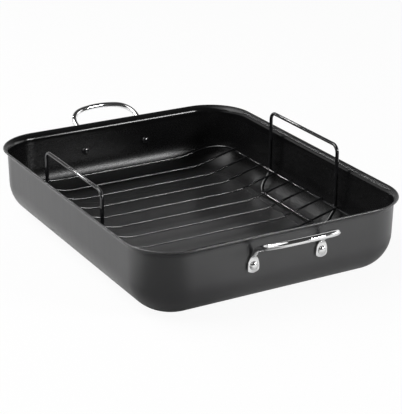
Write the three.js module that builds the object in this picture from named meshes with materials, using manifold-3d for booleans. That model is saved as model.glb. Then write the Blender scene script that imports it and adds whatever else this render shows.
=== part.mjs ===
// Roasting pan with a wire rack: a drawn aluminium pan, two riveted rod handles and a loose rack.
// Millimetres, +Z up. The origin is the middle of the pan's flat underside.
// X runs across the short side, Y along the long side, and the front handle is at -Y.

import * as THREE from 'three';
import { mergeVertices } from 'three/addons/utils/BufferGeometryUtils.js';
import Module from 'manifold-3d';

const wasm = await Module();
wasm.setup();

// Pan
const RIM_WIDTH = 330;
const RIM_LENGTH = 408;
const PAN_HEIGHT = 83;
const WALL_THICKNESS = 2;
const WALL_DRAFT = 1.2; // degrees from upright
const BASE_RADIUS = 41; // outside, between wall and base
const RIM_CORNER_RADIUS = 55; // in plan, at the edge of the lip
const LIP_RADIUS = 8; // outside of the flare
const LIP_TURN = 63; // degrees that the flare turns outward from the wall

// Pan handles
const RIVET_SPACING = 83.6; // between the two rivets of one handle
const RIVET_DROP = 32.8; // from the top of the lip down to the rivets
const ROD_DIAMETER = 6.4;
const TAB_WIDTH = 14.1; // at its widest, just above the tip
const TAB_TIP_RADIUS = 10.4;
const TAB_TAPER = 19.4; // from the widest place up to where its curved sides would meet
const TAB_THICKNESS = 2.6;
const TAB_EDGE_RADIUS = 0.7;
const TAB_BELOW_RIVET = 7.9;
const TAB_ABOVE_RIVET = 7.6; // up to where the rod bends off the wall
const HANDLE_BEND_RADIUS = 20.5; // on the wall side of the bend
const HANDLE_TILT = 25.5; // degrees that the loop rises above level
const HANDLE_REACH = 37.3; // along the loop, from the bend to the middle of the grip
const THICKENING_SHARE = 0.45; // of the bend, over which the tab thickens into the rod
const HANDLE_CORNER_RADIUS = 24;
const GRIP_BOW_RADIUS = 97;

// Rivets
const SHANK_DIAMETER = 5;
const HEAD_DIAMETER = 9.6;
const HEAD_HEIGHT = 2.5;

// Rack
const FRAME_WIRE = 3;
const CROSS_WIRE = 2.5;
const LOOP_WIRE = 4.2;
const CROSS_WIRE_COUNT = 10;
const RACK_SIDE_CLEARANCE = 6.2; // from the lift loops to the pan's long walls
const RACK_END_CLEARANCE = 7.7; // from the frame to the pan's short walls
const FRAME_CORNER_RADIUS = 32;
const CROSS_WIRE_MARGIN = 7.5; // last cross wire to the start of the frame's corner
const DECK_HALF_WIDTH = 90; // flat middle of the cross wires, up to the bend
const DECK_BEND_RADIUS = 70;
const DECK_ABOVE_FOOT = 15.2; // cross wires over the feet, centre to centre
const DECK_RISE_ANGLE = 14.5; // degrees, outside the flat middle
const FRAME_DECK_DROP = 0.4; // flat middle of the frame under that of the cross wires
const FOOT_INSET = 15.5; // feet inside the upright legs
const FOOT_SLANT = 35; // degrees from upright, below the end bars
const FOOT_BEND_RADIUS = 10;
const FOOT_CORNER_RADIUS = 13;
const LOOP_WIDTH = 141; // between the two legs of one loop
const GRIP_ABOVE_DECK = 84; // lift grips over the cross wires, centre to centre
const GRIP_CORNER_RADIUS = 9;

// Pieces that touch on the real object keep this much room.
const FIT_GAP = 0.3;
const DRILL_OVERSHOOT = 4; // rivet holes are cut this far past the sheets

// Facets of one quarter turn
const PLAN_STEPS = 10;
const BASE_STEPS = 7;
const BEND_STEPS = 6;
const SECTION_STEPS = 3;
const DOME_STEPS = 4;

// Facets of a whole turn
const WIRE_SIDES = 8;
const RIVET_SIDES = 16;

// Facets of the gentler curves
const LIP_STEPS = 5;
const NECK_STEPS = 4;
const BOW_STEPS = 3;
const DECK_BEND_STEPS = 4;
const LEAST_BEND_STEPS = 2;
const TAB_TIP_SHARES = [0.05, 0.25, 0.6, 1, 1.6, 2.4]; // places up from the tab's tip, in rises of the tip
const TAB_CORNER_SHARPNESS = 12; // higher is sharper
const TAB_SIDE_CURVE = 3; // higher keeps the tab wide for longer

const MERGE_DISTANCE = 1e-5; // points closer than this are one point

const MATERIALS = {
  anodised: new THREE.MeshStandardMaterial({ color: 0x35363a, roughness: 0.45, metalness: 0.6 }),
  stainless: new THREE.MeshStandardMaterial({ color: 0xd8d8d6, roughness: 0.12, metalness: 1 }),
  coated_wire: new THREE.MeshStandardMaterial({ color: 0x121213, roughness: 0.3, metalness: 0.1 }),
};

const rad = THREE.MathUtils.degToRad;
const lerp = THREE.MathUtils.lerp;

// Even steps from a to b, both included.
function steps(a, b, count) {
  return Array.from({ length: count + 1 }, (_, i) => lerp(a, b, i / count));
}

// Skin over rings of equally many points. An open row of rings is capped by a fan at each end.
function loft(rings, closed = false) {
  const size = rings[0].length;
  const positions = rings.flat().flatMap((p) => [p.x, p.y, p.z]);
  const triangles = [];
  const spans = closed ? rings.length : rings.length - 1;
  for (let r = 0; r < spans; r += 1) {
    const here = r * size;
    const next = ((r + 1) % rings.length) * size;
    for (let i = 0; i < size; i += 1) {
      const j = (i + 1) % size;
      triangles.push(here + i, here + j, next + j, here + i, next + j, next + i);
    }
  }
  if (!closed) {
    for (const [ring, flip] of [[0, true], [rings.length - 1, false]]) {
      const middle = positions.length / 3;
      const centre = new THREE.Vector3();
      rings[ring].forEach((p) => centre.addScaledVector(p, 1 / size));
      positions.push(centre.x, centre.y, centre.z);
      for (let i = 0; i < size; i += 1) {
        const a = ring * size + i;
        const b = ring * size + ((i + 1) % size);
        triangles.push(...(flip ? [middle, b, a] : [middle, a, b]));
      }
    }
  }
  const geometry = new THREE.BufferGeometry();
  geometry.setAttribute('position', new THREE.Float32BufferAttribute(positions, 3));
  geometry.setIndex(facingOut(positions, triangles));
  return geometry;
}

// The triangles, turned over if they enclose a negative volume.
function facingOut(positions, triangles) {
  const at = (i) => new THREE.Vector3().fromArray(positions, 3 * i);
  let volume = 0;
  for (let i = 0; i < triangles.length; i += 3) {
    const [a, b, c] = triangles.slice(i, i + 3).map(at);
    volume += a.dot(b.cross(c));
  }
  return volume < 0 ? triangles.slice().reverse() : triangles;
}

function toSolid(geometry) {
  const bare = geometry.clone();
  bare.deleteAttribute('normal');
  bare.deleteAttribute('uv');
  const merged = mergeVertices(bare, MERGE_DISTANCE);
  return new wasm.Manifold(new wasm.Mesh({
    numProp: 3,
    vertProperties: new Float32Array(merged.attributes.position.array),
    triVerts: new Uint32Array(merged.index.array),
  }));
}

function fromSolid(solid) {
  const mesh = solid.getMesh();
  const geometry = new THREE.BufferGeometry();
  geometry.setAttribute('position', new THREE.BufferAttribute(mesh.vertProperties, 3));
  geometry.setIndex(new THREE.BufferAttribute(mesh.triVerts, 1));
  return geometry;
}

function drilled(geometry, drills) {
  return fromSolid(drills.reduce((solid, drill) => solid.subtract(toSolid(drill)), toSolid(geometry)));
}

function piece(name, geometry, material) {
  const mesh = new THREE.Mesh(geometry, MATERIALS[material]);
  mesh.geometry.computeVertexNormals();
  mesh.name = name;
  return mesh;
}

// Line through corner points, with an arc of the given radius at each inner corner.
// Every corner is { at: Vector3, radius }, and a closed line rounds all of them.
function roundedLine(corners, closed = false) {
  const count = corners.length;
  const points = [];
  corners.forEach(({ at, radius = 0 }, i) => {
    if (!closed && (i === 0 || i === count - 1)) {
      points.push(at.clone());
      return;
    }
    const back = corners[(i + count - 1) % count].at.clone().sub(at).normalize();
    const ahead = corners[(i + 1) % count].at.clone().sub(at).normalize();
    const half = back.angleTo(ahead) / 2;
    const turn = Math.PI - 2 * half;
    const inward = back.clone().add(ahead).normalize();
    const centre = at.clone().addScaledVector(inward, radius / Math.sin(half));
    const across = back.clone().sub(ahead).normalize();
    const arcSteps = Math.max(LEAST_BEND_STEPS, Math.ceil(BEND_STEPS * turn / (Math.PI / 2)));
    for (const angle of steps(-turn / 2, turn / 2, arcSteps)) {
      points.push(centre.clone()
        .addScaledVector(inward, -radius * Math.cos(angle))
        .addScaledVector(across, -radius * Math.sin(angle)));
    }
  });
  return points;
}

// Round wire along points. The sides are set out from a direction that no stretch runs along.
function wire(points, diameter, reference, closed = false) {
  const count = points.length;
  const rings = points.map((at, i) => {
    const before = points[closed ? (i + count - 1) % count : Math.max(i - 1, 0)];
    const after = points[closed ? (i + 1) % count : Math.min(i + 1, count - 1)];
    const along = after.clone().sub(at).normalize().add(at.clone().sub(before).normalize()).normalize();
    const side = along.clone().cross(reference).normalize();
    const up = side.clone().cross(along);
    return steps(0, 2 * Math.PI, WIRE_SIDES).slice(0, -1).map((angle) => at.clone()
      .addScaledVector(side, diameter / 2 * Math.cos(angle))
      .addScaledVector(up, diameter / 2 * Math.sin(angle)));
  });
  return loft(rings, closed);
}

// The wall's profile is set by two arcs. Insets are measured in from the edge of the lip.
const draft = rad(WALL_DRAFT);
const lipEnd = draft + rad(LIP_TURN);
const lipMiddleRadius = LIP_RADIUS + WALL_THICKNESS / 2;
const lipArc = {
  inset: WALL_THICKNESS / 2 - lipMiddleRadius * Math.cos(lipEnd),
  z: PAN_HEIGHT - WALL_THICKNESS / 2 - lipMiddleRadius * Math.sin(lipEnd),
};
const flareStart = {
  inset: lipArc.inset + LIP_RADIUS * Math.cos(draft),
  z: lipArc.z + LIP_RADIUS * Math.sin(draft),
};
const baseArc = {
  inset: flareStart.inset + (flareStart.z - BASE_RADIUS) * Math.tan(draft) + BASE_RADIUS / Math.cos(draft),
  z: BASE_RADIUS,
};

const onLip = (angle, radius) => ({
  inset: lipArc.inset + radius * Math.cos(angle),
  z: lipArc.z + radius * Math.sin(angle),
});
const onBase = (angle, radius) => ({
  inset: baseArc.inset - radius * Math.cos(angle),
  z: baseArc.z - radius * Math.sin(angle),
});

// Inset of the straight outer wall at a height.
const wallInset = (z) => flareStart.inset + (flareStart.z - z) * Math.tan(draft);

// One level of the pan: a rounded rectangle, which shrinks evenly on all sides with its inset.
function panRing({ inset, z }) {
  const halfX = RIM_WIDTH / 2 - inset;
  const halfY = RIM_LENGTH / 2 - inset;
  const radius = Math.max(RIM_CORNER_RADIUS - inset, WALL_THICKNESS);
  return [0, 1, 2, 3].flatMap((quarter) => {
    const start = quarter * Math.PI / 2;
    const sideX = quarter === 0 || quarter === 3 ? 1 : -1;
    const sideY = quarter < 2 ? 1 : -1;
    return steps(start, start + Math.PI / 2, PLAN_STEPS).map((angle) => new THREE.Vector3(
      sideX * (halfX - radius) + radius * Math.cos(angle),
      sideY * (halfY - radius) + radius * Math.sin(angle),
      z,
    ));
  });
}

function panShell() {
  const inner = { base: BASE_RADIUS - WALL_THICKNESS, lip: LIP_RADIUS + WALL_THICKNESS };
  const edgeRadius = WALL_THICKNESS / 2;
  const edge = onLip(lipEnd, lipMiddleRadius);
  const lipEdge = [-lipEnd / 2, 0, Math.PI / 4, Math.PI / 2].map((angle) => ({
    inset: edge.inset - edgeRadius * Math.cos(angle),
    z: edge.z + edgeRadius * Math.sin(angle),
  }));
  return loft([
    ...steps(Math.PI / 2, draft, BASE_STEPS).map((angle) => onBase(angle, BASE_RADIUS)),
    ...steps(draft, lipEnd, LIP_STEPS).map((angle) => onLip(angle, LIP_RADIUS)),
    ...lipEdge,
    ...steps(lipEnd, draft, LIP_STEPS).map((angle) => onLip(angle, inner.lip)),
    ...steps(draft, Math.PI / 2, BASE_STEPS).map((angle) => onBase(angle, inner.base)),
  ].map(panRing));
}

// The handle's seat: its origin is on the outside of the front wall, level with the rivets.
// Its -Y points straight off the wall and its +Z up along the wall.
const rivetHeight = PAN_HEIGHT - RIVET_DROP;
const seatDistance = RIM_LENGTH / 2 - wallInset(rivetHeight);
const rivetPlaces = [-RIVET_SPACING / 2, RIVET_SPACING / 2];

function handleSeat(turn) {
  const end = new THREE.Group();
  end.rotation.z = turn;
  const seat = new THREE.Group();
  seat.position.set(0, -seatDistance, rivetHeight);
  seat.rotation.x = draft;
  end.add(seat);
  end.updateMatrixWorld(true);
  return { end, seat };
}

function rivetDrill(x) {
  const reach = 2 * (WALL_THICKNESS + TAB_THICKNESS + DRILL_OVERSHOOT);
  const radius = SHANK_DIAMETER / 2 + FIT_GAP;
  return new THREE.CylinderGeometry(radius, radius, reach, RIVET_SIDES).translate(x, 0, 0);
}

// Section of the handle: a rectangle with rounded edges, which is a circle along the loop.
function rodSection({ at, side, up, halfWidth, halfThickness, edge }) {
  const radius = Math.min(edge, halfWidth, halfThickness);
  return [0, 1, 2, 3].flatMap((quarter) => {
    const sideX = quarter === 0 || quarter === 3 ? 1 : -1;
    const sideY = quarter < 2 ? 1 : -1;
    return steps(0, SECTION_STEPS - 1, SECTION_STEPS - 1).map((i) => {
      const angle = (quarter + (i + 0.5) / SECTION_STEPS) * Math.PI / 2;
      const x = sideX * (halfWidth - radius) + radius * Math.cos(angle);
      const y = sideY * (halfThickness - radius) + radius * Math.sin(angle);
      return at.clone().addScaledVector(side, x).addScaledVector(up, y);
    });
  });
}

// The larger of two sizes, or with a negative power the smaller, with a rounded change-over.
const blend = (a, b, power) => (a ** power + b ** power) ** (1 / power);

// Half width of the handle at a distance from its tip: a rounded tip, then curved sides up to the rod.
const tabTipRise = TAB_TIP_RADIUS - Math.sqrt(Math.max(0, TAB_TIP_RADIUS ** 2 - (TAB_WIDTH / 2) ** 2));

function tabHalfWidth(fromTip) {
  const taper = THREE.MathUtils.clamp((fromTip - tabTipRise) / TAB_TAPER, 0, 1);
  const sides = blend(TAB_WIDTH / 2 * (1 - taper ** TAB_SIDE_CURVE), ROD_DIAMETER / 2, TAB_CORNER_SHARPNESS);
  if (fromTip >= TAB_TIP_RADIUS) return sides;
  const tip = Math.sqrt(2 * TAB_TIP_RADIUS * fromTip - fromTip ** 2);
  return blend(tip, sides, -TAB_CORNER_SHARPNESS);
}

// Left half of the handle, from the tip of its tab to the middle of the grip.
// At each station, up is square to the handle's own sheet: off the wall, then off the loop.
function handleStations() {
  const rod = ROD_DIAMETER / 2;
  const legX = -RIVET_SPACING / 2;
  const turn = Math.PI / 2 - rad(HANDLE_TILT);
  const flat = TAB_THICKNESS / 2;
  const right = new THREE.Vector3(1, 0, 0);
  const stations = [];

  const tabLength = TAB_BELOW_RIVET + TAB_ABOVE_RIVET;
  const tipPlaces = TAB_TIP_SHARES.map((share) => share * tabTipRise);
  const neckPlaces = steps(tipPlaces.at(-1), tabLength, NECK_STEPS).slice(1);
  for (const fromTip of [...tipPlaces, ...neckPlaces]) {
    stations.push({
      at: new THREE.Vector3(legX, -FIT_GAP - flat, fromTip - TAB_BELOW_RIVET),
      side: right,
      up: new THREE.Vector3(0, -1, 0),
      halfWidth: tabHalfWidth(fromTip),
      halfThickness: flat,
      edge: TAB_EDGE_RADIUS,
    });
  }

  const bendAt = (angle) => {
    const rounding = THREE.MathUtils.smoothstep(angle, 0, THICKENING_SHARE * turn);
    const halfThickness = lerp(flat, rod, rounding);
    const radius = HANDLE_BEND_RADIUS - halfThickness;
    return {
      at: new THREE.Vector3(
        legX,
        -FIT_GAP - HANDLE_BEND_RADIUS + radius * Math.cos(angle),
        TAB_ABOVE_RIVET + radius * Math.sin(angle),
      ),
      side: right,
      up: new THREE.Vector3(0, -Math.cos(angle), -Math.sin(angle)),
      halfWidth: tabHalfWidth(tabLength + HANDLE_BEND_RADIUS * angle),
      halfThickness,
      edge: lerp(TAB_EDGE_RADIUS, rod, rounding),
    };
  };
  steps(0, turn, BEND_STEPS).slice(1).forEach((angle) => stations.push(bendAt(angle)));

  const root = stations.at(-1);
  const outward = new THREE.Vector3(0, -Math.sin(turn), Math.cos(turn));
  const lean = Math.asin((-legX - HANDLE_CORNER_RADIUS) / (GRIP_BOW_RADIUS - HANDLE_CORNER_RADIUS));
  const bowCentre = HANDLE_REACH - GRIP_BOW_RADIUS;
  const cornerCentre = bowCentre + (GRIP_BOW_RADIUS - HANDLE_CORNER_RADIUS) * Math.cos(lean);
  const onLoop = (x, reach, heading) => stations.push({
    at: root.at.clone().setX(x).addScaledVector(outward, reach),
    side: right.clone().multiplyScalar(Math.cos(heading)).addScaledVector(outward, -Math.sin(heading)),
    up: root.up,
    halfWidth: rod,
    halfThickness: rod,
    edge: rod,
  });
  for (const angle of steps(0, Math.PI / 2 - lean, BEND_STEPS)) {
    const across = HANDLE_CORNER_RADIUS * (1 - Math.cos(angle));
    onLoop(legX + across, cornerCentre + HANDLE_CORNER_RADIUS * Math.sin(angle), angle);
  }
  for (const angle of steps(-lean, 0, BOW_STEPS).slice(1)) {
    onLoop(
      GRIP_BOW_RADIUS * Math.sin(angle),
      bowCentre + GRIP_BOW_RADIUS * Math.cos(angle),
      Math.PI / 2 + angle,
    );
  }
  return stations;
}

function handleLoop() {
  const half = handleStations();
  const mirrored = half.slice(0, -1).reverse().map((station) => ({
    ...station,
    at: station.at.clone().multiply(new THREE.Vector3(-1, 1, 1)),
    side: station.side.clone().multiply(new THREE.Vector3(-1, 1, 1)),
  }));
  return drilled(loft([...half, ...mirrored].map(rodSection)), rivetPlaces.map(rivetDrill));
}

// Solid rivet through tab and wall, domed at both ends, turned about its own Y axis.
function rivet() {
  const tabFace = -FIT_GAP - TAB_THICKNESS - FIT_GAP;
  const wallFace = WALL_THICKNESS + FIT_GAP;
  const dome = (seat, away) => steps(0, Math.PI / 2, DOME_STEPS).map((angle) => new THREE.Vector2(
    HEAD_DIAMETER / 2 * Math.sin(angle),
    seat + away * HEAD_HEIGHT * Math.cos(angle),
  ));
  const outline = [
    ...dome(tabFace, -1),
    new THREE.Vector2(SHANK_DIAMETER / 2, tabFace),
    new THREE.Vector2(SHANK_DIAMETER / 2, wallFace),
    ...dome(wallFace, 1).reverse(),
  ];
  return new THREE.LatheGeometry(outline, RIVET_SIDES);
}

// The rack's levels and sides follow from the pan's inside and the wires' thicknesses.
const innerHalfWidth = RIM_WIDTH / 2 - wallInset(BASE_RADIUS) - WALL_THICKNESS;
const innerHalfLength = RIM_LENGTH / 2 - wallInset(BASE_RADIUS) - WALL_THICKNESS;
const loopX = innerHalfWidth - RACK_SIDE_CLEARANCE - LOOP_WIRE / 2;
const endBarX = loopX - LOOP_WIRE / 2 - FIT_GAP - FRAME_WIRE / 2;
const sideRunY = innerHalfLength - RACK_END_CLEARANCE - FRAME_WIRE / 2;
const footX = loopX - FOOT_INSET;

// The feet lie in the rounding between the pan's floor and its long walls.
function footHeight() {
  const run = footX - (RIM_WIDTH / 2 - baseArc.inset);
  const reach = BASE_RADIUS - WALL_THICKNESS - FIT_GAP - LOOP_WIRE / 2;
  return run > 0 ? BASE_RADIUS - Math.sqrt(reach ** 2 - run ** 2) : BASE_RADIUS - reach;
}

const footZ = footHeight();
const deckZ = footZ + DECK_ABOVE_FOOT;
const rise = (endBarX - DECK_HALF_WIDTH) * Math.tan(rad(DECK_RISE_ANGLE));
const stacked = (CROSS_WIRE / 2 + FIT_GAP + FRAME_WIRE / 2) / Math.cos(rad(DECK_RISE_ANGLE));
const endBarZ = deckZ + rise - stacked;
const frameDeckZ = deckZ - FRAME_DECK_DROP;

// The frame bends where the cross wires do, less steeply because its end bars lie under them.
const frameAngle = Math.atan2(endBarZ - frameDeckZ, endBarX - DECK_HALF_WIDTH);
const frameBendReach = DECK_BEND_RADIUS * Math.tan(frameAngle / 2);

// Height of the frame over its flat middle, at a distance from the rack's middle line.
function frameRise(x) {
  const pastBend = Math.abs(x) - DECK_HALF_WIDTH;
  if (pastBend <= -frameBendReach) return 0;
  if (pastBend >= frameBendReach * Math.cos(frameAngle)) return pastBend * Math.tan(frameAngle);
  return DECK_BEND_RADIUS - Math.sqrt(DECK_BEND_RADIUS ** 2 - (pastBend + frameBendReach) ** 2);
}

// Closed frame: a rounded rectangle in plan, bent down between its end bars.
function rackFrame() {
  const plan = [[1, 1], [-1, 1], [-1, -1], [1, -1]].map(([sideX, sideY]) => ({
    at: new THREE.Vector3(sideX * endBarX, sideY * sideRunY, 0),
    radius: FRAME_CORNER_RADIUS,
  }));
  const corners = roundedLine(plan, true);
  const perCorner = corners.length / 4;
  const bendEnds = [DECK_HALF_WIDTH - frameBendReach, DECK_HALF_WIDTH + frameBendReach];
  const bend = steps(...bendEnds, DECK_BEND_STEPS).filter((x) => x < endBarX - FRAME_CORNER_RADIUS);
  const across = [...bend.map((x) => -x).reverse(), ...bend];
  const backRun = across.map((x) => new THREE.Vector3(-x, sideRunY, 0));
  const frontRun = across.map((x) => new THREE.Vector3(x, -sideRunY, 0));
  const line = [
    ...corners.slice(0, perCorner),
    ...backRun,
    ...corners.slice(perCorner, 3 * perCorner),
    ...frontRun,
    ...corners.slice(3 * perCorner),
  ];
  line.forEach((p) => p.setZ(frameDeckZ + frameRise(p.x)));
  return wire(line, FRAME_WIRE, new THREE.Vector3(0, 0, 1), true);
}

// Cross wire: flat in the middle, rising to lie on top of both end bars.
function crossWire(y) {
  const end = endBarX + FRAME_WIRE / 2;
  const endZ = deckZ + (end - DECK_HALF_WIDTH) * Math.tan(rad(DECK_RISE_ANGLE));
  const line = roundedLine([
    { at: new THREE.Vector3(-end, y, endZ) },
    { at: new THREE.Vector3(-DECK_HALF_WIDTH, y, deckZ), radius: DECK_BEND_RADIUS },
    { at: new THREE.Vector3(DECK_HALF_WIDTH, y, deckZ), radius: DECK_BEND_RADIUS },
    { at: new THREE.Vector3(end, y, endZ) },
  ]);
  return wire(line, CROSS_WIRE, new THREE.Vector3(0, 1, 0));
}

// Lift loop: grip on top, upright legs outside the end bar, then slanting in to the foot.
function liftLoop(side) {
  const legY = LOOP_WIDTH / 2;
  const gripZ = deckZ + GRIP_ABOVE_DECK;
  const bendZ = footZ + FOOT_INSET / Math.tan(rad(FOOT_SLANT));
  const corner = (x, y, z, radius) => ({ at: new THREE.Vector3(side * x, y, z), radius });
  const line = roundedLine([
    corner(loopX, legY, gripZ, GRIP_CORNER_RADIUS),
    corner(loopX, -legY, gripZ, GRIP_CORNER_RADIUS),
    corner(loopX, -legY, bendZ, FOOT_BEND_RADIUS),
    corner(footX, -legY, footZ, FOOT_CORNER_RADIUS),
    corner(footX, legY, footZ, FOOT_CORNER_RADIUS),
    corner(loopX, legY, bendZ, FOOT_BEND_RADIUS),
  ], true);
  return wire(line, LOOP_WIRE, new THREE.Vector3(1, 0, 0), true);
}

function pan() {
  const group = new THREE.Group();
  const ends = [
    { name: 'front', turn: 0, rivets: ['left', 'right'] },
    { name: 'back', turn: Math.PI, rivets: ['right', 'left'] },
  ];
  const drills = [];
  for (const { name, turn, rivets } of ends) {
    const { end, seat } = handleSeat(turn);
    seat.add(piece(`${name}_handle`, handleLoop(), 'stainless'));
    rivetPlaces.forEach((x, i) => {
      const fastener = piece(`${name}_${rivets[i]}_rivet`, rivet(), 'stainless');
      fastener.position.x = x;
      seat.add(fastener);
      drills.push(rivetDrill(x).applyMatrix4(seat.matrixWorld));
    });
    group.add(end);
  }
  group.add(piece('pan_body', drilled(panShell(), drills), 'anodised'));
  return group;
}

function rack() {
  const group = new THREE.Group();
  group.add(piece('rack_frame', rackFrame(), 'coated_wire'));
  const lastY = sideRunY - FRAME_CORNER_RADIUS - CROSS_WIRE_MARGIN;
  steps(-lastY, lastY, CROSS_WIRE_COUNT - 1).forEach((y, i) => {
    const number = String(i + 1).padStart(2, '0');
    group.add(piece(`rack_wire_${number}`, crossWire(y), 'coated_wire'));
  });
  group.add(piece('rack_left_lift_loop', liftLoop(-1), 'coated_wire'));
  group.add(piece('rack_right_lift_loop', liftLoop(1), 'coated_wire'));
  return group;
}

const roastingPan = new THREE.Group();
roastingPan.add(pan());
roastingPan.add(rack());

export default roastingPan;
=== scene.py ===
import math

import bmesh
import bpy
from mathutils import Matrix, Quaternion, Vector


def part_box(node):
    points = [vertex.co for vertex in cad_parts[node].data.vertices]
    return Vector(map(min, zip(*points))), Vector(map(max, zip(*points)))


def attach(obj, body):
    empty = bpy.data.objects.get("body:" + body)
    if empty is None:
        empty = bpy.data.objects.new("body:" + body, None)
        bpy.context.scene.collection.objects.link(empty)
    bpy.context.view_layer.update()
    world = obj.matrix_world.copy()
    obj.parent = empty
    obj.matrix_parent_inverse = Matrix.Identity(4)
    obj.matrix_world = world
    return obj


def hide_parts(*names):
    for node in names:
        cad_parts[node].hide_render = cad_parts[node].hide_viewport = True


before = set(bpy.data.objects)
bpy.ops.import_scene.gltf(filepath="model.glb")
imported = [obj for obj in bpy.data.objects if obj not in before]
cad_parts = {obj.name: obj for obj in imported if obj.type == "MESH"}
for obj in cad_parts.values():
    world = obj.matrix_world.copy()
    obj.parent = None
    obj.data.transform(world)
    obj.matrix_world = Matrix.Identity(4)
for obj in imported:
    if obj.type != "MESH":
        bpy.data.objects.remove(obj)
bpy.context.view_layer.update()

# Nodes
RIVETS = ("front_left_rivet", "front_right_rivet", "back_left_rivet", "back_right_rivet")
LOOPS = ("rack_left_lift_loop", "rack_right_lift_loop")
CROSS_WIRES = sorted(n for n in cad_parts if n.startswith("rack_wire_"))

# Pan
WALL = 0.002
DRAFT = math.radians(1.2)
BASE_RADIUS = 0.041
RIM_CORNER_RADIUS = 0.055
LIP_RADIUS = 0.008
LIP_TURN = math.radians(63)

# Pan handles
ROD = 0.0064
TAB_WIDTH = 0.0141
TAB_TIP_RADIUS = 0.0104
TAB_TAPER = 0.0194
TAB_THICKNESS = 0.0026
TAB_EDGE_RADIUS = 0.0007
TAB_BELOW_RIVET = 0.0079
TAB_ABOVE_RIVET = 0.0076
TAB_CORNER_SHARPNESS = 12
TAB_SIDE_CURVE = 3
HANDLE_BEND_RADIUS = 0.0205
HANDLE_TILT = math.radians(25.5)
HANDLE_REACH = 0.0373
THICKENING_SHARE = 0.45
HANDLE_CORNER_RADIUS = 0.024
GRIP_BOW_RADIUS = 0.097

# Rivets
SHANK = 0.005
HEAD_DIAMETER = 0.0096
HEAD_HEIGHT = 0.0025
FIT_GAP = 0.0003

# Rack
FRAME_WIRE = 0.003
CROSS_WIRE = 0.0025
LOOP_WIRE = 0.0042
FRAME_CORNER_RADIUS = 0.032
DECK_HALF_WIDTH = 0.09
DECK_BEND_RADIUS = 0.07
FOOT_SLANT = math.radians(35)
FOOT_BEND_RADIUS = 0.01
FOOT_CORNER_RADIUS = 0.013
GRIP_CORNER_RADIUS = 0.009

# Weld beads: half width and half height, and how far and on how many sides a bead is drawn in
WIRE_WELD = (0.0017, 0.0011)
LOOP_WELD = (0.0021, 0.0013)
WELD_PINCH = 0.15
WELD_EXITS = 4

# Fineness of the meshes
PLAN_STEPS = 24
BASE_STEPS = 18
LIP_STEPS = 12
LIP_EDGE_STEPS = 8
SECTION_STEPS = 7
HANDLE_STEPS = 16
TIP_STEPS = 10
BEND_STEPS = 12
LEAST_BEND_STEPS = 6
SIDE_RUN_STEPS = 24
END_BAR_STEPS = 8
CAP_STEPS = 5
WIRE_SIDES = 18
RIVET_SIDES = 40
DOME_STEPS = 10
WELD_SIDES = 16
WELD_STEPS = 8
SMOOTH_BELOW = math.radians(50)

# Extra levels on straight stretches: distances in from the base bend, and shares of a stretch
FLOOR_RUN = (0.05, 0.02, 0.002)
WALL_SHARES = (0.05, 0.5, 0.95)
SIDE_SHARES = (0.01, 0.34, 0.66, 0.99)
LEG_SHARES = (0.25, 0.5, 0.75)

# Angles at which rounded ends start, so that a small flat is left, and the least share of a wire's radius
DOME_START = 0.02
TIP_START = 0.06
CAP_START = 0.1
CAP_LEAST_SHARE = 0.15

# Heights on the pan between which its finish changes and the painted light on its floor sets in
BASE_WEAR = (0.006, 0.0)
PAINTED_FLOOR_LIGHT_HEIGHTS = (0.008, 0.002)
DULL_BEND = (0.003, 0.008)
BEND_END = (0.014, 0.021)

# Depths below the rim between which the finish changes
LIP_WEAR = (0.004, 0.0)
SMOOTH_LIP = (0.014, 0.008)
LIP_TOP = (0.004, 0.001)

# Noise values that a plain pattern runs through, and depth of a bump
NOISE_SPREAD = (0.3, 0.7)
GRAIN_DEPTH = 0.0001

# Anodised outside. Patterns are features per metre and detail, and for marks the noise where they set in.
ANODISED_IOR = 1.75
ANODISED_PATCHES = (16, 4)
ANODISED_COLOURS = ((0.018, 0.018, 0.0192), (0.024, 0.024, 0.0252))
SPECKLES = (1300, 2, 0.62, 0.75)
SPECKLE_COLOUR = (0.032, 0.032, 0.033)
LIP_SCRATCHES = (260, 4, 0.45, 0.7)
LIP_WEAR_COLOUR = (0.06, 0.06, 0.061)
BASE_SCRATCHES = (180, 5, 0.5, 0.7)
BASE_WEAR_COLOUR = (0.055, 0.055, 0.056)
SATIN = (900, 3)
SATIN_ROUGHNESS = (0.27, 0.31)
DRAWING_MARKS = (240, 2)
DRAWING_STRETCH = (1, 1, 0.04)
DRAWN_ROUGHNESS = (0.31, 0.35)
ANODISED_GRAIN = (2600, 2)
ANODISED_GRAIN_STRENGTH = 0.12

# Non-stick inside
NONSTICK_IOR = 1.37
NONSTICK_PATCHES = (25, 3)
NONSTICK_COLOURS = ((0.004, 0.004, 0.0042), (0.0065, 0.0065, 0.0067))
# Painted light: the floor's colours, lighter than the walls' as if lit from above
PAINTED_FLOOR_LIGHT_COLOURS = ((0.026, 0.026, 0.0264), (0.034, 0.034, 0.0345))
FLECKS = (1700, 2, 0.64, 0.74)
FLECK_COLOUR = (0.026, 0.026, 0.027)
SPRAY = (1100, 2)
SPRAYED_ROUGHNESS = (0.25, 0.29)
RUBBED_ROUGHNESS = 0.19
BEND_ROUGHNESS = 0.4
LIP_ROUGHNESS = 0.15
LIP_TOP_ROUGHNESS = 0.4
ORANGE_PEEL = (1400, 3)
ORANGE_PEEL_STRENGTH = 0.1

# Polished steel
STEEL_PATCHES = (40, 3)
STEEL_COLOURS = ((0.85, 0.85, 0.85), (0.91, 0.91, 0.91))
POLISHING_MARKS = (2200, 3)
POLISHING_STRETCH = (0.04, 1, 1)
POLISHED_ROUGHNESS = (0.05, 0.12)
POLISHING_STRENGTH = 0.03
POLISHING_DEPTH = 0.00005

# Gloss black of the wires and of the inner rivet heads
WIRE_IOR = 1.7
RIVET_IOR = 2.0
GLOSS_PATCHES = (500, 2)
GLOSS_COLOURS = ((0.007, 0.007, 0.008), (0.012, 0.012, 0.013))
GLOSS = (900, 2)
GLOSS_ROUGHNESS = (0.06, 0.09)
SCUFFS = (220, 4, 0.6, 0.72)
SCUFF_ROUGHNESS = 0.18
WAVINESS = (700, 2)
WAVINESS_STRENGTH = 0.05

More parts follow.
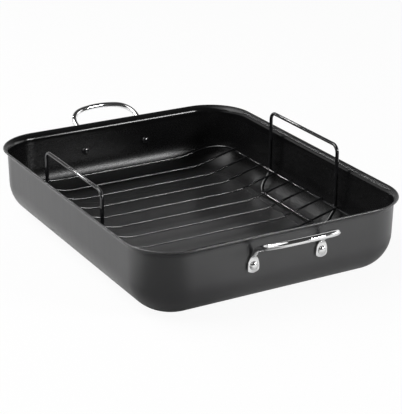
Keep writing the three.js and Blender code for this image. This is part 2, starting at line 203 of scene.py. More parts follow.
# Floor: half its length, its grey, and how much of it is plain white to the camera and to reflections
FLOOR_REACH = 8.0
FLOOR_GREY = 0.92
FLOOR_SEEN_WHITE = 0.93
FLOOR_REFLECTED_WHITE = 0.02

# Room: its light from all sides, and its greys by the height at which a reflection looks
AMBIENT = 0.07
STUDIO_GREYS = ((0.0, 1.0), (0.2, 0.9), (0.3, 0.6), (0.42, 0.22), (0.6, 0.07), (1.0, 0.03))

# Dark front of the room, seen by reflections alone, and how far to the front they look where it sets in
FRONT_GREY = 0.05
FRONT_FADE = (-0.2, -0.6)

# Painted shadow: a dark patch on the floor, seen by reflections alone, which darkens the pan's near corner.
# Its edge fades over a share of the radius.
PAINTED_SHADOW_PLACE = Vector((-0.212, -0.258, 0))
PAINTED_SHADOW_RADIUS = 0.195
PAINTED_SHADOW_FADE = 0.5
PAINTED_SHADOW_GREY = 0.18

# Lamps: name, azimuth from the front towards the right, elevation, roll, width, height, watts
LAMPS = (
    ("left_softbox", 240, 45, 0, 1.8, 1.3, 28),
    ("front_right_softbox", 34, 20, 0, 0.65, 0.24, 20),
    ("top_softbox", 270, 62, 0, 1.5, 1.4, 12),
    ("back_strip", 198, 31.5, -25, 0.4, 0.04, 2.9),
    ("right_panel", 75, 14, 0, 1.4, 0.6, 5.6),
    ("back_right_panel", 150, 31, 0, 1.2, 0.8, 0.8),
)
LAMP_TARGET = Vector((0, 0, 0.04))
LAMP_DISTANCE = 2.0

# Camera: the photograph's place, turn and lens, fitted to the pan's outline
EYE = Vector((-0.773117, -1.369005, 0.663542))
AZIMUTH = math.radians(-29.801)
ELEVATION = math.radians(21.752)
ROLL = math.radians(0.369)
LENS = 128.35
SENSOR = 36.0

# Directions
QUARTER = math.pi / 2
QUADRANTS = ((1, 1), (-1, 1), (-1, -1), (1, -1))
RIGHT = Vector((1, 0, 0))
BACK = Vector((0, 1, 0))
UP = Vector((0, 0, 1))


def steps(a, b, count):
    """Even steps from a to b, both included."""
    return [a + (b - a) * i / count for i in range(count + 1)]


def smoothstep(x, low, high):
    share = min(1, max(0, (x - low) / (high - low)))
    return share * share * (3 - 2 * share)


def lerp(a, b, share):
    return a + (b - a) * share


def full_turn(count):
    """Even angles around a circle."""
    return [2 * math.pi * k / count for k in range(count)]


# Meshes


def loft(rings, closed=False):
    """Vertices and faces of a skin over rings of equally many points, capped at the ends unless closed."""
    size = len(rings[0])
    faces = []
    for r in range(len(rings) if closed else len(rings) - 1):
        here, after = r * size, (r + 1) % len(rings) * size
        for i in range(size):
            j = (i + 1) % size
            faces.append((here + i, here + j, after + j, after + i))
    if not closed:
        last = (len(rings) - 1) * size
        faces.append(tuple(range(size - 1, -1, -1)))
        faces.append(tuple(range(last, last + size)))
    return [p for ring in rings for p in ring], faces


def make_mesh(name, verts, faces, materials=()):
    """Smooth-shaded object of these faces, turned so that they point out."""
    mesh = bpy.data.meshes.new(name)
    for material in materials:
        mesh.materials.append(material)
    mesh.from_pydata([tuple(v) for v in verts], [], faces)
    work = bmesh.new()
    work.from_mesh(mesh)
    bmesh.ops.recalc_face_normals(work, faces=work.faces)
    work.to_mesh(mesh)
    work.free()
    mesh.shade_smooth()
    mesh.set_sharp_from_angle(angle=SMOOTH_BELOW)
    obj = bpy.data.objects.new(name, mesh)
    bpy.context.scene.collection.objects.link(obj)
    return obj


def cut(obj, cutters):
    """Takes the cutters out of the object and removes them."""
    for cutter in cutters:
        modifier = obj.modifiers.new("cut", "BOOLEAN")
        modifier.operation = "DIFFERENCE"
        modifier.solver = "EXACT"
        modifier.object = cutter
    graph = bpy.context.evaluated_depsgraph_get()
    result = bpy.data.meshes.new_from_object(obj.evaluated_get(graph))
    obj.modifiers.clear()
    obj.data = result
    result.set_sharp_from_angle(angle=SMOOTH_BELOW)
    for cutter in cutters:
        bpy.data.objects.remove(cutter)


def dress(obj, body, slot, *replaced):
    """Puts a finished piece on its body and in place of its nodes. The slot is not used."""
    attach(obj, body)
    if replaced:
        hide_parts(*replaced)


def rounded_line(corners, closed=False):
    """Points along a line of (corner, radius), with an arc at each inner corner."""
    count = len(corners)
    points = []
    for i, (at, radius) in enumerate(corners):
        if not closed and i in (0, count - 1):
            points.append(at)
            continue
        back = (corners[i - 1][0] - at).normalized()
        ahead = (corners[(i + 1) % count][0] - at).normalized()
        half = back.angle(ahead) / 2
        turn = math.pi - 2 * half
        inward = (back + ahead).normalized()
        across = (back - ahead).normalized()
        centre = at + inward * (radius / math.sin(half))
        arc_steps = max(LEAST_BEND_STEPS, math.ceil(BEND_STEPS * turn / QUARTER))
        for angle in steps(-turn / 2, turn / 2, arc_steps):
            points.append(centre - inward * (radius * math.cos(angle)) - across * (radius * math.sin(angle)))
    return points


def tube_rings(points, radii, reference, closed=False):
    """Rings of a round wire. Its sides are set out from a direction that no stretch runs along."""
    count = len(points)
    rings = []
    for i, at in enumerate(points):
        before = points[i - 1] if closed or i else points[0]
        after = points[(i + 1) % count] if closed or i < count - 1 else points[-1]
        along = ((after - at).normalized() + (at - before).normalized()).normalized()
        side = along.cross(reference).normalized()
        up = side.cross(along)
        rings.append([at + (side * math.cos(t) + up * math.sin(t)) * radii[i] for t in full_turn(WIRE_SIDES)])
    return rings


# Pan

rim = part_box("pan_body")[1]
lip_end = DRAFT + LIP_TURN
lip_middle = LIP_RADIUS + WALL / 2
lip_inset = WALL / 2 - lip_middle * math.cos(lip_end)
lip_z = rim.z - WALL / 2 - lip_middle * math.sin(lip_end)
flare_inset = lip_inset + LIP_RADIUS * math.cos(DRAFT)
flare_z = lip_z + LIP_RADIUS * math.sin(DRAFT)
base_inset = flare_inset + (flare_z - BASE_RADIUS) * math.tan(DRAFT) + BASE_RADIUS / math.cos(DRAFT)


def wall_inset(z):
    """Inset of the straight outer wall at a height."""
    return flare_inset + (flare_z - z) * math.tan(DRAFT)


def on_lip(angle, radius):
    """Point of the flare as (inset, height)."""
    return lip_inset + radius * math.cos(angle), lip_z + radius * math.sin(angle)


def on_base(angle, radius):
    """Point of the base bend as (inset, height)."""
    return base_inset - radius * math.cos(angle), BASE_RADIUS - radius * math.sin(angle)


def pan_face(base_radius, lip_radius):
    """Profile of one side of the sheet, as (inset, height), from the floor up to the lip."""
    base = [on_base(a, base_radius) for a in steps(QUARTER, DRAFT, BASE_STEPS)]
    lip = [on_lip(a, lip_radius) for a in steps(DRAFT, lip_end, LIP_STEPS)]
    floor = [(base[0][0] + away, base[0][1]) for away in FLOOR_RUN]
    wall = [tuple(Vector(base[-1]).lerp(Vector(lip[0]), share)) for share in WALL_SHARES]
    return floor + base + wall + lip


def plan_ring(inset, z):
    """One level of the pan: a rounded rectangle, which shrinks evenly on all sides with its inset."""
    half_x, half_y = rim.x - inset, rim.y - inset
    radius = max(RIM_CORNER_RADIUS - inset, WALL)
    ring = []
    for quarter, (sx, sy) in enumerate(QUADRANTS):
        for angle in steps(quarter * QUARTER, (quarter + 1) * QUARTER, PLAN_STEPS):
            ring.append(Vector((sx * (half_x - radius) + radius * math.cos(angle),
                                sy * (half_y - radius) + radius * math.sin(angle), z)))
        next_x, next_y = QUADRANTS[(quarter + 1) % len(QUADRANTS)]
        angle = (quarter + 1) * QUARTER
        end = Vector((next_x * (half_x - radius) + radius * math.cos(angle),
                      next_y * (half_y - radius) + radius * math.sin(angle), z))
        ring += [ring[-1].lerp(end, share) for share in SIDE_SHARES]
    return ring


def make_pan(outside, inside):
    """Pan of one sheet. The last two faces of its loft are the caps: the underside, then the floor inside."""
    outer = pan_face(BASE_RADIUS, LIP_RADIUS)
    inner = pan_face(BASE_RADIUS - WALL, LIP_RADIUS + WALL)
    middle = on_lip(lip_end, lip_middle)
    edge = [(middle[0] - WALL / 2 * math.cos(a), middle[1] + WALL / 2 * math.sin(a))
            for a in steps(-lip_end, math.pi - lip_end, LIP_EDGE_STEPS)[1:-1]]
    profile = outer + edge + inner[::-1]
    verts, faces = loft([plan_ring(*level) for level in profile])
    pan = make_mesh("pan", verts, faces, (outside, inside))
    underside = len(faces) - 2
    per_level = underside // (len(profile) - 1)
    first_inner = per_level * (len(outer) + len(edge))
    for polygon in pan.data.polygons:
        inner_face = polygon.index >= first_inner and polygon.index != underside
        polygon.material_index = 1 if inner_face else 0
    cut(pan, [rivet_drill(at) for at in rivet_places()])
    dress(pan, "pan", "anodised", "pan_body")


# Rivets and handles


def middle_of(node):
    low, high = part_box(node)
    return (low + high) / 2


rivet_z = middle_of(RIVETS[0]).z
seat_y = rim.y - wall_inset(rivet_z)


def seat(x, end):
    """Placement of a point on the outside of a short wall: -Y off the wall, +Z up along it."""
    tilt = Matrix.Translation((x, -seat_y, rivet_z)) @ Matrix.Rotation(DRAFT, 4, "X")
    return tilt if end == "front" else Matrix.Rotation(math.pi, 4, "Z") @ tilt


def rivet_places():
    """Placement of each rivet, in the order of the nodes' names."""
    places = []
    for node in RIVETS:
        end = node.split("_")[0]
        x = middle_of(node).x
        places.append(seat(x if end == "front" else -x, end))
    return places


def turned(outline, place):
    """Rings of a shape turned about its own Y axis, from (radius, y) pairs."""
    turns = full_turn(RIVET_SIDES)
    return [[place @ Vector((r * math.cos(t), y, r * math.sin(t))) for t in turns] for r, y in outline]


def rivet_drill(place):
    """Cutter for a rivet's hole, with the gap that fits round its shank."""
    radius = SHANK / 2 + FIT_GAP
    reach = 2 * (TAB_THICKNESS + WALL)
    return make_mesh("drill", *loft(turned([(radius, -reach), (radius, reach)], place)))


def make_rivet(node, place, steel, coating):
    """Solid rivet through tab and wall: a polished dome outside, a coated one inside."""
    tab_face = -2 * FIT_GAP - TAB_THICKNESS
    wall_face = WALL + FIT_GAP
    crown = HEAD_DIAMETER / 2
    dome = [(crown * math.sin(a), HEAD_HEIGHT * math.cos(a)) for a in steps(DOME_START, QUARTER, DOME_STEPS)]
    outline = [(r, tab_face - h) for r, h in dome]
    outline += [(SHANK / 2, tab_face), (SHANK / 2, wall_face)]
    outline += [(r, wall_face + h) for r, h in reversed(dome)]
    verts, faces = loft(turned(outline, place))
    rivet = make_mesh(node.replace("_rivet", "_rivet_heads"), verts, faces, (steel, coating))
    into_wall = place.to_3x3() @ BACK
    for polygon in rivet.data.polygons:
        inner = (polygon.center - place.translation).dot(into_wall) > WALL / 2
        polygon.material_index = 1 if inner else 0
    dress(rivet, "pan", "stainless", node)


def blend(a, b, power):
    """The larger of two sizes, or with a negative power the smaller, with a rounded change-over."""
    return (a ** power + b ** power) ** (1 / power)


def tab_half_width(from_tip):
    """Half width of the handle at a distance from its tip: a rounded tip, then curved sides up to the rod."""
    rise = TAB_TIP_RADIUS - math.sqrt(TAB_TIP_RADIUS ** 2 - (TAB_WIDTH / 2) ** 2)
    taper = min(1, max(0, (from_tip - rise) / TAB_TAPER))
    sides = blend(TAB_WIDTH / 2 * (1 - taper ** TAB_SIDE_CURVE), ROD / 2, TAB_CORNER_SHARPNESS)
    if from_tip >= TAB_TIP_RADIUS:
        return sides
    tip = math.sqrt(2 * TAB_TIP_RADIUS * from_tip - from_tip ** 2)
    return blend(tip, sides, -TAB_CORNER_SHARPNESS)


def handle_stations():
    """Left half of the handle as (place, side, up, half width, half thickness, edge), from tip to middle."""
    leg_x = -abs(middle_of(RIVETS[0]).x)
    rod, flat = ROD / 2, TAB_THICKNESS / 2
    turn = QUARTER - HANDLE_TILT
    tab_length = TAB_BELOW_RIVET + TAB_ABOVE_RIVET
    stations = []
    tip_places = [TAB_TIP_RADIUS * (1 - math.cos(a)) for a in steps(TIP_START, QUARTER / 2, TIP_STEPS)]
    neck_places = steps(tip_places[-1], tab_length, HANDLE_STEPS)[1:]
    for from_tip in tip_places + neck_places:
        at = Vector((leg_x, -FIT_GAP - flat, from_tip - TAB_BELOW_RIVET))
        stations.append((at, RIGHT, -BACK, tab_half_width(from_tip), flat, TAB_EDGE_RADIUS))
    for angle in steps(0, turn, HANDLE_STEPS)[1:]:
        rounding = smoothstep(angle, 0, THICKENING_SHARE * turn)
        thickness = lerp(flat, rod, rounding)
        radius = HANDLE_BEND_RADIUS - thickness
        at = Vector((leg_x, -FIT_GAP - HANDLE_BEND_RADIUS + radius * math.cos(angle),
                     TAB_ABOVE_RIVET + radius * math.sin(angle)))
        up = Vector((0, -math.cos(angle), -math.sin(angle)))
        width = tab_half_width(tab_length + HANDLE_BEND_RADIUS * angle)
        stations.append((at, RIGHT, up, width, thickness, lerp(TAB_EDGE_RADIUS, rod, rounding)))
    root, up = stations[-1][0], stations[-1][2]
    outward = Vector((0, -math.sin(turn), math.cos(turn)))
    lean = math.asin((-leg_x - HANDLE_CORNER_RADIUS) / (GRIP_BOW_RADIUS - HANDLE_CORNER_RADIUS))
    bow_centre = HANDLE_REACH - GRIP_BOW_RADIUS
    corner_centre = bow_centre + (GRIP_BOW_RADIUS - HANDLE_CORNER_RADIUS) * math.cos(lean)
    loop = [(leg_x, corner_centre * share, 0) for share in LEG_SHARES]
    for angle in steps(0, QUARTER - lean, HANDLE_STEPS):
        across = HANDLE_CORNER_RADIUS * (1 - math.cos(angle))
        loop.append((leg_x + across, corner_centre + HANDLE_CORNER_RADIUS * math.sin(angle), angle))
    for angle in steps(-lean, 0, HANDLE_STEPS // 2)[1:]:
        loop.append((GRIP_BOW_RADIUS * math.sin(angle),
                     bow_centre + GRIP_BOW_RADIUS * math.cos(angle), QUARTER + angle))
    for x, reach, heading in loop:
        at = Vector((x, root.y, root.z)) + outward * reach
        side = RIGHT * math.cos(heading) - outward * math.sin(heading)
        stations.append((at, side, up, rod, rod, rod))
    return stations


def rod_section(at, side, up, half_width, half_thickness, edge):
    """Section of the handle: a rectangle with rounded edges, which is a circle along the loop."""
    radius = min(edge, half_width, half_thickness)
    ring = []
    for quarter, (sx, sy) in enumerate(QUADRANTS):
        for i in range(SECTION_STEPS):
            angle = (quarter + (i + 0.5) / SECTION_STEPS) * QUARTER
            x = sx * (half_width - radius) + radius * math.cos(angle)
            y = sy * (half_thickness - radius) + radius * math.sin(angle)
            ring.append(at + side * x + up * y)
    return ring


def make_handle(end, steel):
    """One rod from tab to tab, lofted over a half and its mirror image, and drilled for its rivets."""
    half = handle_stations()
    flip = Matrix.Diagonal((-1, 1, 1))
    mirrored = [(flip @ at, flip @ side, *rest) for at, side, *rest in reversed(half[:-1])]
    place = seat(0, end)
    rings = [[place @ p for p in rod_section(*station)] for station in half + mirrored]
    handle = make_mesh(f"{end}_handle_rod", *loft(rings), (steel,))
    cut(handle, [rivet_drill(at) for at, node in zip(rivet_places(), RIVETS) if node.startswith(end)])
    dress(handle, "pan", "stainless", f"{end}_handle")


# Rack

frame_low, frame_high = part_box("rack_frame")
end_bar_x = frame_high.x - FRAME_WIRE / 2
end_bar_z = frame_high.z - FRAME_WIRE / 2
side_run_y = frame_high.y - FRAME_WIRE / 2
frame_deck_z = frame_low.z + FRAME_WIRE / 2
frame_angle = math.atan2(end_bar_z - frame_deck_z, end_bar_x - DECK_HALF_WIDTH)


def frame_rise(x):
    """Height of the frame over its flat middle, at a distance from the rack's middle line."""
    reach = DECK_BEND_RADIUS * math.tan(frame_angle / 2)
    past = abs(x) - DECK_HALF_WIDTH
    if past <= -reach:
        return 0
    if past >= reach * math.cos(frame_angle):
        return past * math.tan(frame_angle)
    return DECK_BEND_RADIUS - math.sqrt(DECK_BEND_RADIUS ** 2 - (past + reach) ** 2)


def make_frame(coating):
    """Closed wire: a rounded rectangle from above, with side runs that sink to the flat middle."""
    corners = [(Vector((sx * end_bar_x, sy * side_run_y, 0)), FRAME_CORNER_RADIUS) for sx, sy in QUADRANTS]
    rounded = rounded_line(corners, True)
    per_corner = len(rounded) // len(corners)
    line = []
    for corner in range(len(corners)):
        arc = rounded[corner * per_corner:(corner + 1) * per_corner]
        following = rounded[(corner + 1) * per_corner % len(rounded)]
        parts = SIDE_RUN_STEPS if corner % 2 == 0 else END_BAR_STEPS
        line += arc + [arc[-1].lerp(following, share) for share in steps(0, 1, parts)[1:-1]]
    line = [Vector((p.x, p.y, frame_deck_z + frame_rise(p.x))) for p in line]
    rings = tube_rings(line, [FRAME_WIRE / 2] * len(line), UP, True)
    wire = make_mesh("rack_frame_wire", *loft(rings, True), (coating,))
    dress(wire, "rack", "coated_wire", "rack_frame")


def make_cross_wire(node, coating):
    """Wire with rounded ends that rests on both end bars and follows the frame's sunk middle."""
    low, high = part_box(node)
    radius = CROSS_WIRE / 2
    y = (low.y + high.y) / 2
    deck_z = low.z + radius
    end_x = end_bar_x + FRAME_WIRE / 2
    tip_z = high.z - radius
    line = rounded_line([
        (Vector((-end_x, y, tip_z)), 0),
        (Vector((-DECK_HALF_WIDTH, y, deck_z)), DECK_BEND_RADIUS),
        (Vector((DECK_HALF_WIDTH, y, deck_z)), DECK_BEND_RADIUS),
        (Vector((end_x, y, tip_z)), 0),
    ])
    points, radii = rounded_ends(line, radius)
    rings = tube_rings(points, radii, BACK)
    wire = make_mesh(node + "_coated", *loft(rings), (coating,))
    dress(wire, "rack", "coated_wire", node)


def rounded_ends(line, radius):
    """The line with extra points near its ends, and radii that round them off."""
    points, radii = list(line), [radius] * len(line)
    for end, neighbour in ((0, 1), (-1, -2)):
        inward = (line[neighbour] - line[end]).normalized()
        cap = [(line[end] + inward * (radius * (1 - math.cos(a))), radius * max(math.sin(a), CAP_LEAST_SHARE))
               for a in steps(CAP_START, QUARTER, CAP_STEPS)]
        if end == 0:
            points[:1], radii[:1] = [p for p, _ in cap], [r for _, r in cap]
        else:
            points[-1:], radii[-1:] = [p for p, _ in reversed(cap)], [r for _, r in reversed(cap)]
    return points, radii


def make_lift_loop(node, coating):
    """Closed wire at one end of the rack: an upright grip above, and a foot that slants in below."""
    low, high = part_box(node)
    side = 1 if high.x > 0 else -1
    radius = LOOP_WIRE / 2
    reach = sorted((abs(low.x), abs(high.x)))
    foot_x, loop_x = reach[0] + radius, reach[1] - radius
    leg_y, foot_z, grip_z = high.y - radius, low.z + radius, high.z - radius
    bend_z = foot_z + (loop_x - foot_x) / math.tan(FOOT_SLANT)
    corners = [
        ((loop_x, leg_y, grip_z), GRIP_CORNER_RADIUS),
        ((loop_x, -leg_y, grip_z), GRIP_CORNER_RADIUS),
        ((loop_x, -leg_y, bend_z), FOOT_BEND_RADIUS),
        ((foot_x, -leg_y, foot_z), FOOT_CORNER_RADIUS),
        ((foot_x, leg_y, foot_z), FOOT_CORNER_RADIUS),
        ((loop_x, leg_y, bend_z), FOOT_BEND_RADIUS),
    ]
    line = rounded_line([(Vector((side * x, y, z)), r) for (x, y, z), r in corners], True)
    rings = tube_rings(line, [radius] * len(line), RIGHT, True)
    loop = make_mesh(node + "_coated", *loft(rings, True), (coating,))
    dress(loop, "rack", "coated_wire", node)


def weld_bead(centre, axis, half_width, half_height):
    """Rings of a lump of metal about an axis across Y, drawn in on the sides where the wires leave it."""
    other = axis.cross(BACK)
    turns = full_turn(WELD_SIDES)
    rings = []
    for polar in steps(0, math.pi, WELD_STEPS + 2)[1:-1]:
        radii = [half_width * math.sin(polar) * (1 - WELD_PINCH * math.cos(WELD_EXITS * t)) for t in turns]
        level = centre + axis * (half_height * math.cos(polar))
        rings.append([level + (BACK * math.cos(t) + other * math.sin(t)) * r for t, r in zip(turns, radii)])
    return rings


def weld_beads():
    """A bead at each crossing of a cross wire with an end bar, and at each leg of a lift loop."""
    for side in (-1, 1):
        for node in CROSS_WIRES:
            low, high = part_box(node)
            rise = high.z - low.z - CROSS_WIRE
            slope = Vector((end_bar_x + FRAME_WIRE / 2 - DECK_HALF_WIDTH, 0, rise)).normalized()
            up = Vector((-side * slope.z, 0, slope.x))
            bar = Vector((side * end_bar_x, (low.y + high.y) / 2, end_bar_z))
            yield weld_bead(bar + up * (FRAME_WIRE / 2 + FIT_GAP / 2), up, *WIRE_WELD)
    for node in LOOPS:
        low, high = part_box(node)
        out = RIGHT if high.x > 0 else -RIGHT
        for leg_y in (low.y + LOOP_WIRE / 2, high.y - LOOP_WIRE / 2):
            centre = out * (end_bar_x + FRAME_WIRE / 2 + FIT_GAP / 2) + Vector((0, leg_y, end_bar_z))
            yield weld_bead(centre, out, *LOOP_WELD)


def make_welds(coating):
    """All beads of the rack as one piece."""
    verts, faces = [], []
    for rings in weld_beads():
        bead_verts, bead_faces = loft(rings)
        faces += [tuple(len(verts) + i for i in face) for face in bead_faces]
        verts += bead_verts
    dress(make_mesh("rack_welds", verts, faces, (coating,)), "rack", "coated_wire")


# Materials


def principled(name, **values):
    """New material with its node tree and shader, and with constant values on the shader's own sockets."""
    material = bpy.data.materials.new(name)
    material.use_nodes = True
    tree = material.node_tree
    shader = tree.nodes["Principled BSDF"]
    for socket, value in values.items():
        shader.inputs[socket.replace("_", " ")].default_value = value
    return material, tree, shader


def object_noise(tree, scale, detail, stretch=(1, 1, 1)):
    """Noise at a scale in features per metre, in the piece's own coordinates."""
    coords = tree.nodes.new("ShaderNodeTexCoord")
    mapping = tree.nodes.new("ShaderNodeMapping")
    mapping.inputs["Scale"].default_value = stretch
    noise = tree.nodes.new("ShaderNodeTexNoise")
    noise.inputs["Scale"].default_value = scale
    noise.inputs["Detail"].default_value = detail
    tree.links.new(coords.outputs["Object"], mapping.inputs["Vector"])
    tree.links.new(mapping.outputs["Vector"], noise.inputs["Vector"])
    return noise.outputs["Fac"]


def opaque(value):
    """Colour with its alpha, from a colour or a grey."""
    return (*value, 1) if isinstance(value, tuple) else (value, value, value, 1)


def ramp(tree, factor, low, high, spread=NOISE_SPREAD):
    """Colour or grey value that runs from low to high as the factor runs through a spread."""
    node = tree.nodes.new("ShaderNodeValToRGB")
    for element, place, value in zip(node.color_ramp.elements, spread, (low, high)):
        element.position = place
        element.color = opaque(value)
    tree.links.new(factor, node.inputs["Fac"])
    return node.outputs["Color"]


def marks(tree, scale, detail, start, end):
    """Mask of the spots where noise is high, which set in between two of its values."""
    return ramp(tree, object_noise(tree, scale, detail), 0.0, 1.0, (start, end))


def fade(tree, value, start, end):
    """Mask that runs smoothly from 0 to 1 as a value runs from start to end."""
    node = tree.nodes.new("ShaderNodeMapRange")
    node.interpolation_type = "SMOOTHSTEP"
    node.inputs["From Min"].default_value = start
    node.inputs["From Max"].default_value = end
    tree.links.new(value, node.inputs["Value"])
    return node.outputs["Result"]


def bump(tree, shader, height, strength, distance=GRAIN_DEPTH):
    node = tree.nodes.new("ShaderNodeBump")
    node.inputs["Strength"].default_value = strength
    node.inputs["Distance"].default_value = distance
    tree.links.new(height, node.inputs["Height"])
    tree.links.new(node.outputs["Normal"], shader.inputs["Normal"])


def mix_values(tree, factor, low, high):
    """Value or colour between two others, each a socket or a constant."""
    node = tree.nodes.new("ShaderNodeMix")
    node.data_type = "RGBA"
    tree.links.new(factor, node.inputs["Factor"])
    for value, socket in ((low, node.inputs["A"]), (high, node.inputs["B"])):
        if isinstance(value, bpy.types.NodeSocket):
            tree.links.new(value, socket)
        else:
            socket.default_value = opaque(value)
    return node.outputs["Result"]


def times(tree, a, b):
    node = tree.nodes.new("ShaderNodeMath")
    node.operation = "MULTIPLY"
    tree.links.new(a, node.inputs[0])
    tree.links.new(b, node.inputs[1])
    return node.outputs["Value"]


def height_band(tree, low, high):
    """Mask that runs from 0 to 1 between two heights of the piece."""
    coords = tree.nodes.new("ShaderNodeTexCoord")
    split = tree.nodes.new("ShaderNodeSeparateXYZ")
    tree.links.new(coords.outputs["Object"], split.inputs["Vector"])
    return fade(tree, split.outputs["Z"], low, high)


def lip_band(tree, lower, upper):
    """The same between two depths below the rim."""
    return height_band(tree, rim.z - lower, rim.z - upper)


def anodised_outside():
    """Hard-anodised aluminium: dark grey satin with a fine grain, drawing marks, and wear at lip and base."""
    material, tree, shader = principled("anodised_outside", Metallic=0.0, IOR=ANODISED_IOR)
    patches = ramp(tree, object_noise(tree, *ANODISED_PATCHES), *ANODISED_COLOURS)
    speckled = mix_values(tree, marks(tree, *SPECKLES), patches, SPECKLE_COLOUR)
    lip_wear = times(tree, lip_band(tree, *LIP_WEAR), marks(tree, *LIP_SCRATCHES))
    base_wear = times(tree, height_band(tree, *BASE_WEAR), marks(tree, *BASE_SCRATCHES))
    worn = mix_values(tree, lip_wear, speckled, LIP_WEAR_COLOUR)
    scuffed = mix_values(tree, base_wear, worn, BASE_WEAR_COLOUR)
    tree.links.new(scuffed, shader.inputs["Base Color"])
    satin = object_noise(tree, *SATIN)
    drawn = ramp(tree, object_noise(tree, *DRAWING_MARKS, DRAWING_STRETCH), 0.0, 1.0)
    smoother = ramp(tree, satin, *SATIN_ROUGHNESS)
    rougher = ramp(tree, satin, *DRAWN_ROUGHNESS)
    tree.links.new(mix_values(tree, drawn, smoother, rougher), shader.inputs["Roughness"])
    bump(tree, shader, object_noise(tree, *ANODISED_GRAIN), ANODISED_GRAIN_STRENGTH)
    return material


def nonstick_inside():
    """Black sprayed non-stick with flecks, smoother on the floor, with painted light that makes the floor
    lighter than the walls, dull in the bend and on the lip's top.
    """
    material, tree, shader = principled("nonstick_inside", Metallic=0.0, IOR=NONSTICK_IOR)
    patches = object_noise(tree, *NONSTICK_PATCHES)
    plain = ramp(tree, patches, *NONSTICK_COLOURS)
    painted_floor_light = ramp(tree, patches, *PAINTED_FLOOR_LIGHT_COLOURS)
    # Painted light: the floor gets lighter colours than the walls, as if lit from above
    coat = mix_values(tree, height_band(tree, *PAINTED_FLOOR_LIGHT_HEIGHTS), plain, painted_floor_light)
    flecked = mix_values(tree, marks(tree, *FLECKS), coat, FLECK_COLOUR)
    tree.links.new(flecked, shader.inputs["Base Color"])
    sprayed = ramp(tree, object_noise(tree, *SPRAY), *SPRAYED_ROUGHNESS)
    bend = mix_values(tree, height_band(tree, *DULL_BEND), RUBBED_ROUGHNESS, BEND_ROUGHNESS)
    wall = mix_values(tree, height_band(tree, *BEND_END), bend, sprayed)
    lip = mix_values(tree, lip_band(tree, *SMOOTH_LIP), wall, LIP_ROUGHNESS)
    lip_top = mix_values(tree, lip_band(tree, *LIP_TOP), lip, LIP_TOP_ROUGHNESS)
    tree.links.new(lip_top, shader.inputs["Roughness"])
    bump(tree, shader, object_noise(tree, *ORANGE_PEEL), ORANGE_PEEL_STRENGTH)
    return material


def polished_steel():
    """Mirror-polished stainless steel with polishing marks that run across the pan, along the grips."""
    material, tree, shader = principled("polished_steel", Metallic=1.0)
    patches = ramp(tree, object_noise(tree, *STEEL_PATCHES), *STEEL_COLOURS)
    tree.links.new(patches, shader.inputs["Base Color"])
    polish = object_noise(tree, *POLISHING_MARKS, POLISHING_STRETCH)
    tree.links.new(ramp(tree, polish, *POLISHED_ROUGHNESS), shader.inputs["Roughness"])
    bump(tree, shader, polish, POLISHING_STRENGTH, POLISHING_DEPTH)
    return material


def black_gloss(name, ior):
    """Gloss black coating over steel, with a slight waviness and a few dull scuffs."""
    material, tree, shader = principled(name, Metallic=0.0, IOR=ior)
    patches = ramp(tree, object_noise(tree, *GLOSS_PATCHES), *GLOSS_COLOURS)
    tree.links.new(patches, shader.inputs["Base Color"])
    gloss = ramp(tree, object_noise(tree, *GLOSS), *GLOSS_ROUGHNESS)
    scuffed = mix_values(tree, marks(tree, *SCUFFS), gloss, SCUFF_ROUGHNESS)
    tree.links.new(scuffed, shader.inputs["Roughness"])
    bump(tree, shader, object_noise(tree, *WAVINESS), WAVINESS_STRENGTH)
    return material


# Stage


def ray_share(tree, camera, glossy):
    """Value that depends on the ray: one for camera and transmission rays, one for glossy rays, else 0."""
    path = tree.nodes.new("ShaderNodeLightPath")
    total = None
    shares = {"Is Camera Ray": camera, "Is Transmission Ray": camera, "Is Glossy Ray": glossy}
    for output, share in shares.items():
        add = tree.nodes.new("ShaderNodeMath")
        add.operation = "MULTIPLY_ADD"
        tree.links.new(path.outputs[output], add.inputs[0])
        add.inputs[1].default_value = share
        add.inputs[2].default_value = 0
        if total:
            tree.links.new(total, add.inputs[2])
        total = add.outputs[0]
    return total


def painted_shadow_share(tree):
    """How much of the painted shadow on the floor a reflected ray meets, fading out at its edge."""
    coords = tree.nodes.new("ShaderNodeTexCoord")
    mapping = tree.nodes.new("ShaderNodeMapping")
    mapping.inputs["Location"].default_value = -PAINTED_SHADOW_PLACE / PAINTED_SHADOW_RADIUS
    mapping.inputs["Scale"].default_value = [1 / PAINTED_SHADOW_RADIUS] * 3
    spot = tree.nodes.new("ShaderNodeTexGradient")
    spot.gradient_type = "SPHERICAL"
    tree.links.new(coords.outputs["Object"], mapping.inputs["Vector"])
    tree.links.new(mapping.outputs["Vector"], spot.inputs["Vector"])
    # Painted shadow: a round dark patch in the floor's colour, which only reflected rays see
    painted_shadow = ramp(tree, spot.outputs["Fac"], 0.0, 1.0, (0.0, PAINTED_SHADOW_FADE))
    return times(tree, painted_shadow, ray_share(tree, 0, 1))


def make_floor():
    """White floor. Camera rays see it mostly evenly lit, so that the shadow on it stays faint."""
    material, tree, shader = principled("floor", Roughness=1.0, Specular_IOR_Level=0.0)
    # Painted shadow: reflections see the floor's grey turn dark in a patch in front of the near corner
    tree.links.new(mix_values(tree, painted_shadow_share(tree), FLOOR_GREY, PAINTED_SHADOW_GREY), shader.inputs["Base Color"])
    glow = tree.nodes.new("ShaderNodeEmission")
    mix = tree.nodes.new("ShaderNodeMixShader")
    tree.links.new(ray_share(tree, FLOOR_SEEN_WHITE, FLOOR_REFLECTED_WHITE), mix.inputs["Fac"])
    tree.links.new(shader.outputs["BSDF"], mix.inputs[1])
    tree.links.new(glow.outputs["Emission"], mix.inputs[2])
    tree.links.new(mix.outputs["Shader"], tree.nodes["Material Output"].inputs["Surface"])
    corners = [(sx * FLOOR_REACH, sy * FLOOR_REACH, 0) for sx, sy in QUADRANTS]
    floor = make_mesh("floor", corners, [range(len(corners))], (material,))


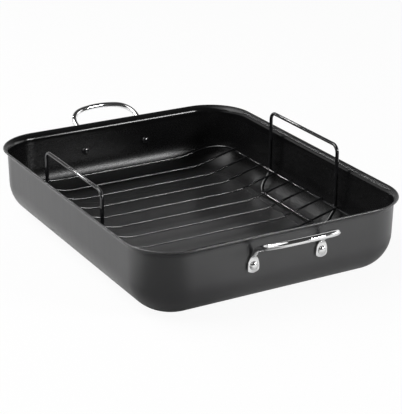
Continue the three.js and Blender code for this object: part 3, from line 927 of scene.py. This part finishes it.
def make_world():
    """White background. Reflections see it white at the horizon, and dark overhead and in front."""
    world = bpy.data.worlds.new("studio")
    bpy.context.scene.world = world
    world.use_nodes = True
    tree = world.node_tree
    background = tree.nodes["Background"]
    coords = tree.nodes.new("ShaderNodeTexCoord")
    split = tree.nodes.new("ShaderNodeSeparateXYZ")
    tree.links.new(coords.outputs["Generated"], split.inputs["Vector"])
    studio = tree.nodes.new("ShaderNodeValToRGB")
    stops = studio.color_ramp.elements
    while len(stops) < len(STUDIO_GREYS):
        stops.new(1.0)
    for stop, (height, grey) in zip(stops, STUDIO_GREYS):
        stop.position = height
        stop.color = opaque(grey)
    tree.links.new(split.outputs["Z"], studio.inputs["Fac"])
    front = fade(tree, split.outputs["Y"], *FRONT_FADE)
    room = mix_values(tree, front, studio.outputs["Color"], FRONT_GREY)
    lit = mix_values(tree, ray_share(tree, 0, 1), AMBIENT, room)
    shown = mix_values(tree, ray_share(tree, 1, 0), lit, 1.0)
    tree.links.new(shown, background.inputs["Color"])


def make_softbox(name, azimuth, elevation, roll, width, height, power):
    """Flat lamp that faces the pan and isn't seen by the camera."""
    turn, rise = math.radians(azimuth), math.radians(elevation)
    away = Vector((math.cos(rise) * math.sin(turn), -math.cos(rise) * math.cos(turn), math.sin(rise)))
    lamp = bpy.data.lights.new(name, "AREA")
    lamp.shape = "RECTANGLE"
    lamp.size, lamp.size_y = width, height
    lamp.energy = power
    obj = bpy.data.objects.new(name, lamp)
    obj.location = LAMP_TARGET + away * LAMP_DISTANCE
    obj.rotation_mode = "QUATERNION"
    facing = (-away).to_track_quat("-Z", "Y")
    obj.rotation_quaternion = facing @ Quaternion(UP, math.radians(roll))
    obj.visible_camera = False
    bpy.context.scene.collection.objects.link(obj)


def make_camera():
    """Camera at the photograph's angle."""
    back = Vector((math.sin(AZIMUTH) * math.cos(ELEVATION), -math.cos(AZIMUTH) * math.cos(ELEVATION),
                   math.sin(ELEVATION)))
    right = Vector((math.cos(AZIMUTH), math.sin(AZIMUTH), 0))
    up = back.cross(right)
    rolled_right = right * math.cos(ROLL) + up * math.sin(ROLL)
    rolled_up = up * math.cos(ROLL) - right * math.sin(ROLL)
    data = bpy.data.cameras.new("camera")
    data.lens, data.sensor_width = LENS, SENSOR
    camera = bpy.data.objects.new("camera", data)
    turn = Matrix((rolled_right, rolled_up, back)).transposed()
    camera.matrix_world = Matrix.Translation(EYE) @ turn.to_4x4()
    bpy.context.scene.collection.objects.link(camera)
    bpy.context.scene.camera = camera


# Object

outside = anodised_outside()
inside = nonstick_inside()
steel = polished_steel()
wire_black = black_gloss("coated_wire", WIRE_IOR)
rivet_black = black_gloss("coated_rivet", RIVET_IOR)

make_pan(outside, inside)
for end in ("front", "back"):
    make_handle(end, steel)
for node, place in zip(RIVETS, rivet_places()):
    make_rivet(node, place, steel, rivet_black)
make_frame(wire_black)
for node in CROSS_WIRES:
    make_cross_wire(node, wire_black)
for node in LOOPS:
    make_lift_loop(node, wire_black)
make_welds(wire_black)

# Studio

make_floor()
make_world()
for lamp in LAMPS:
    make_softbox(*lamp)
make_camera()
bpy.context.scene.view_settings.view_transform = "Standard"
